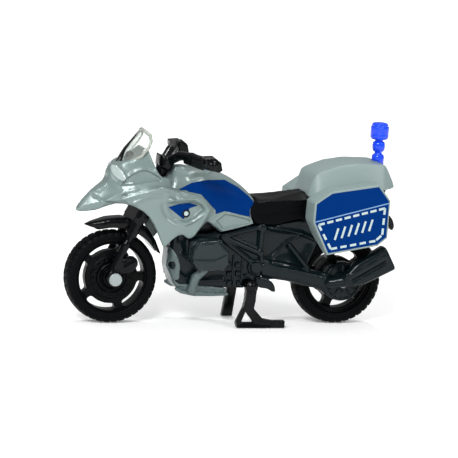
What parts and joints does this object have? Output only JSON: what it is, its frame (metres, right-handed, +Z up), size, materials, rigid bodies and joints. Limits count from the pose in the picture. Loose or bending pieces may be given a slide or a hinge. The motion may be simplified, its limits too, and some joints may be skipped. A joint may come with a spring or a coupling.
{
  "type": "toy motorcycle",
  "caption": "Pocket die-cast touring motorcycle with panniers, top case, beacon, steering fork, rolling wheels and a folding stand.",
  "frame": {"origin": "on the ground, midway between the front of the front tyre and the plate holder's tip, on the centre plane", "axes": "+Z up, the motorcycle heads along -X, its left side faces -Y"},
  "size_m": [0.0794, 0.032, 0.0478],
  "materials": {
    "silver_paint": "gloss",
    "silver_plastic": "satin",
    "black_plastic": "satin",
    "dark_plastic": "satin",
    "clear_plastic": "clear",
    "blue_plastic": "clear",
    "rivet_steel": "satin",
    "tyre_rubber": "matte"
  },
  "bodies": {
    "motorcycle": {"beacon": "blue_plastic", "cylinder_cover_left": "dark_plastic", "cylinder_cover_right": "dark_plastic", "exhaust_header_left": "silver_paint", "exhaust_header_right": "silver_paint", "frame_left": "dark_plastic", "frame_right": "dark_plastic", "frame_rivet": "dark_plastic", "headlight_lens": "clear_plastic", "muffler": "dark_plastic", "pannier_left": "silver_plastic", "pannier_right": "silver_plastic", "plate_holder": "black_plastic", "rear_axle": "rivet_steel", "rear_rack": "black_plastic", "seat": "black_plastic", "skid_plate": "silver_paint", "top_case": "silver_plastic", "upper_body": "silver_paint", "windshield": "clear_plastic"},
    "steering": {"fork": "black_plastic", "front_fender": "black_plastic", "handlebar": "black_plastic", "front_axle": "rivet_steel"},
    "front_wheel": {"front_tyre": "tyre_rubber", "front_rim": "black_plastic"},
    "rear_wheel": {"rear_tyre": "tyre_rubber", "rear_rim": "black_plastic"},
    "stand": {"stand": "black_plastic"}
  },
  "joints": [
    {"name": "steer", "type": "hinge", "parent": "motorcycle", "child": "steering", "pos_m": [-0.03045, 0, 0.0108], "axis": [0.4337, 0, 0.9011], "range_deg": [-12, 12]},
    {"name": "front_wheel_spin", "type": "hinge", "parent": "steering", "child": "front_wheel", "pos_m": [-0.0289, 0, 0.0108], "axis": [0, -1, 0], "continuous": true},
    {"name": "rear_wheel_spin", "type": "hinge", "parent": "motorcycle", "child": "rear_wheel", "pos_m": [0.0261, 0, 0.0108], "axis": [0, -1, 0], "continuous": true},
    {"name": "stand_fold", "type": "hinge", "parent": "motorcycle", "child": "stand", "pos_m": [0.0032, 0, 0.0098], "axis": [0, -1, 0], "range_deg": [0, 85]}
  ]
}
